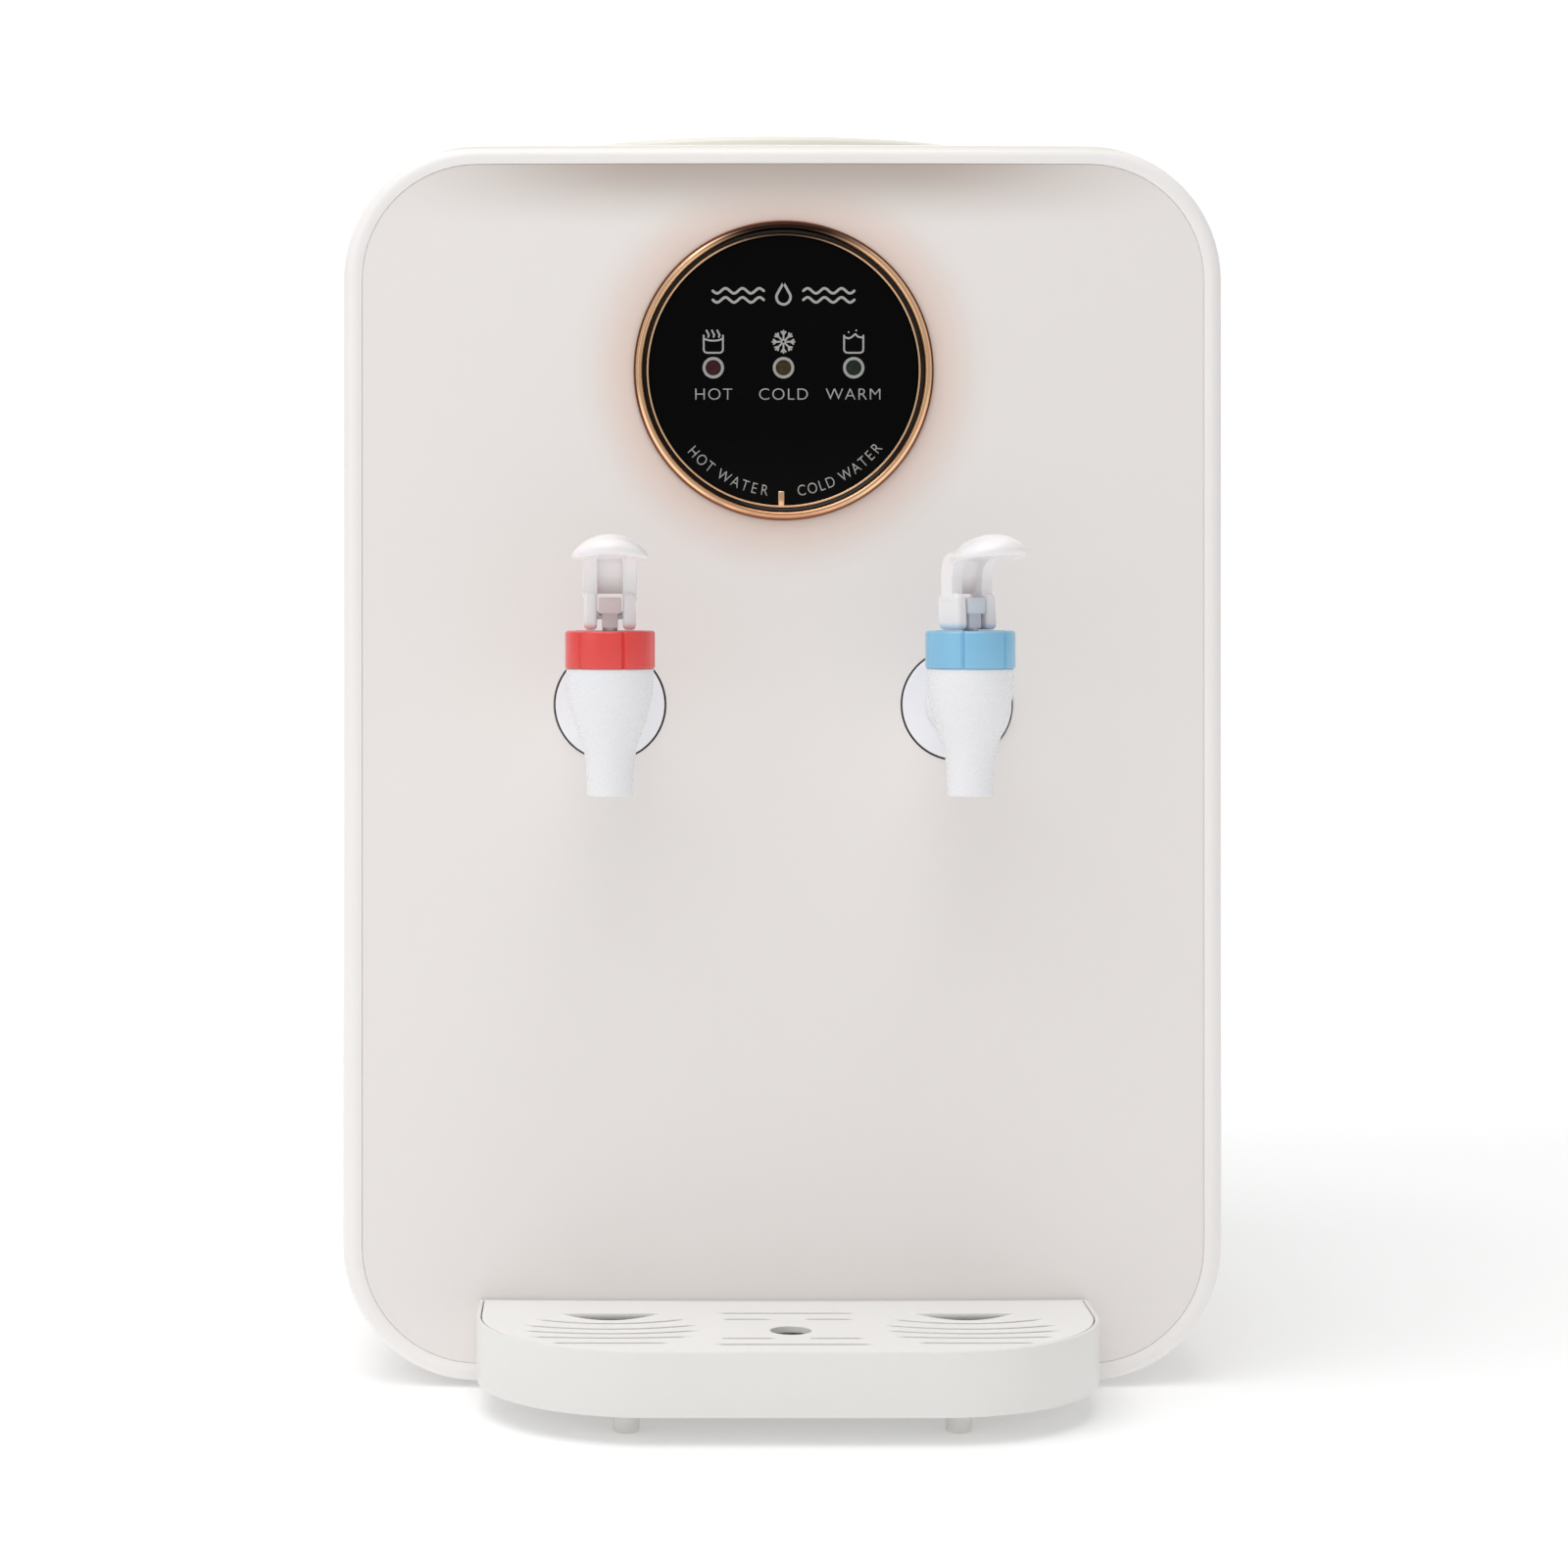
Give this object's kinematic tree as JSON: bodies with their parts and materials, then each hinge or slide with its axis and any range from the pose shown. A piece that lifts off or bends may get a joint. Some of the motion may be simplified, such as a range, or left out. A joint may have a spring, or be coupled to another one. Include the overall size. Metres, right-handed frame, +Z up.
{
  "type": "countertop water dispenser",
  "caption": "Countertop hot and cold water dispenser with a top bottle seat, swivelling lever taps, a round display and a pull-out drip tray.",
  "frame": {"origin": "centre of the bounding box's base, on the counter", "axes": "+X to the viewer's right, +Y to the back, +Z up; the taps face -Y"},
  "size_m": [0.313, 0.399, 0.4512],
  "materials": {
    "white_plastic": "satin moulded white",
    "white_sheet": "white powder coat",
    "tap_white": "gloss white",
    "tray_white": "satin white",
    "seat_white": "pale green-white, satin",
    "tap_red": "satin coral red",
    "tap_blue": "satin light blue",
    "rose_gold": "rose gold plated",
    "black_glass": "polished black",
    "lamp_red": "tinted lens",
    "lamp_amber": "tinted lens",
    "lamp_green": "tinted lens",
    "rubber": "matt",
    "silicone": "translucent white",
    "steel": "plain steel",
    "aluminium": "extruded",
    "foam": "moulded foam",
    "board": "circuit board",
    "hose": "silicone hose",
    "dark_plastic": "dark moulded"
  },
  "bodies": {
    "housing": {"base_pan": "white_plastic", "cold_block": "aluminium", "cold_collar": "tap_blue", "cold_escutcheon": "tap_white", "cold_hose": "hose", "cold_shank_nut": "steel", "cold_tank": "steel", "cold_tank_lid": "tray_white", "cold_tap_body": "tap_white", "control_board": "board", "cord_gland": "dark_plastic", "display_glass": "black_glass", "display_ring": "rose_gold", "drain_pipe": "hose", "fan_frame": "dark_plastic", "feed_hose": "hose", "foot_back_left": "rubber", "foot_back_right": "rubber", "foot_front_left": "rubber", "foot_front_right": "rubber", "front_frame": "white_plastic", "front_panel": "white_plastic", "heat_sink": "aluminium", "heater_band": "aluminium", "hot_collar": "tap_red", "hot_escutcheon": "tap_white", "hot_hose": "hose", "hot_shank_nut": "steel", "hot_tank": "steel", "hot_tap_body": "tap_white", "lamp_cold": "lamp_amber", "lamp_hot": "lamp_red", "lamp_warm": "lamp_green", "power_board": "board", "rear_cover": "white_plastic", "side_panel_left": "white_sheet", "side_panel_right": "white_sheet", "switch_plate": "dark_plastic", "tank_foam": "foam", "tank_shelf": "steel", "top_cover": "white_plastic"},
    "hot_swivel_head": {"hot_swivel_washer": "tap_white"},
    "hot_valve": {"hot_stem": "tap_white", "hot_seal": "silicone", "hot_cross_pin": "steel", "hot_return_spring": "steel"},
    "hot_handle": {"hot_lever": "tap_white"},
    "cold_swivel_head": {"cold_swivel_washer": "tap_white"},
    "cold_valve": {"cold_stem": "tap_white", "cold_seal": "silicone", "cold_cross_pin": "steel", "cold_return_spring": "steel"},
    "cold_handle": {"cold_lever": "tap_white"},
    "tray": {"drip_tray": "tray_white"},
    "grille": {"drip_grille": "tray_white"},
    "seat": {"bottle_seat": "seat_white"},
    "fan": {"fan_rotor": "dark_plastic"},
    "drain_plug": {"drain_cap": "dark_plastic"},
    "hot_switch": {"hot_rocker": "tap_red"},
    "cold_switch": {"cold_rocker": "tap_blue"}
  },
  "joints": [
    {"name": "hot_lever_swivel", "type": "hinge", "parent": "housing", "child": "hot_swivel_head", "pos_m": [-0.0613, -0.1605, 0.2687], "axis": [0, 0, 1], "range_deg": [-90, 90]},
    {"name": "hot_stem_lift", "type": "slide", "parent": "hot_swivel_head", "child": "hot_valve", "axis": [0, 0, 1], "range_m": [0, 0.0022], "deforming": ["hot_return_spring"]},
    {"name": "hot_lever_press", "type": "hinge", "parent": "hot_valve", "child": "hot_handle", "pos_m": [-0.0613, -0.1605, 0.2739], "axis": [1, 0, 0], "range_deg": [0, 28], "stiffness_Nm_per_rad": 0.08, "springref_deg": -28.65},
    {"name": "cold_lever_swivel", "type": "hinge", "parent": "housing", "child": "cold_swivel_head", "pos_m": [0.0613, -0.1605, 0.2687], "axis": [0, 0, 1], "range_deg": [-125, 55]},
    {"name": "cold_stem_lift", "type": "slide", "parent": "cold_swivel_head", "child": "cold_valve", "axis": [0, 0, 1], "range_m": [0, 0.0022], "deforming": ["cold_return_spring"]},
    {"name": "cold_lever_press", "type": "hinge", "parent": "cold_valve", "child": "cold_handle", "pos_m": [0.0613, -0.1605, 0.2739], "axis": [0.8192, 0.5736, 0], "range_deg": [0, 28], "stiffness_Nm_per_rad": 0.08, "springref_deg": -28.65},
    {"name": "tray_slide", "type": "slide", "parent": "housing", "child": "tray", "axis": [0, -1, 0], "range_m": [0, 0.12]},
    {"name": "grille_lift", "type": "slide", "parent": "tray", "child": "grille", "axis": [0, 0, 1], "range_m": [0, 0.06]},
    {"name": "bottle_seat_lift", "type": "slide", "parent": "housing", "child": "seat", "axis": [0, 0, 1], "range_m": [0, 0.1]},
    {"name": "fan_spin", "type": "hinge", "parent": "housing", "child": "fan", "pos_m": [0, 0.17, 0.305], "axis": [0, 1, 0], "continuous": true},
    {"name": "drain_cap_pull", "type": "slide", "parent": "housing", "child": "drain_plug", "axis": [0, 1, 0], "range_m": [0, 0.03]},
    {"name": "hot_switch_rock", "type": "hinge", "parent": "housing", "child": "hot_switch", "pos_m": [0.086, 0.1855, 0.372], "axis": [1, 0, 0], "range_deg": [0, 24]},
    {"name": "cold_switch_rock", "type": "hinge", "parent": "housing", "child": "cold_switch", "pos_m": [0.104, 0.1855, 0.372], "axis": [1, 0, 0], "range_deg": [0, 24]}
  ],
  "couplings": [
    {"joint": "hot_stem_lift", "follows": "hot_lever_press", "m_per_rad": 0.0045},
    {"joint": "cold_stem_lift", "follows": "cold_lever_press", "m_per_rad": 0.0045}
  ]
}
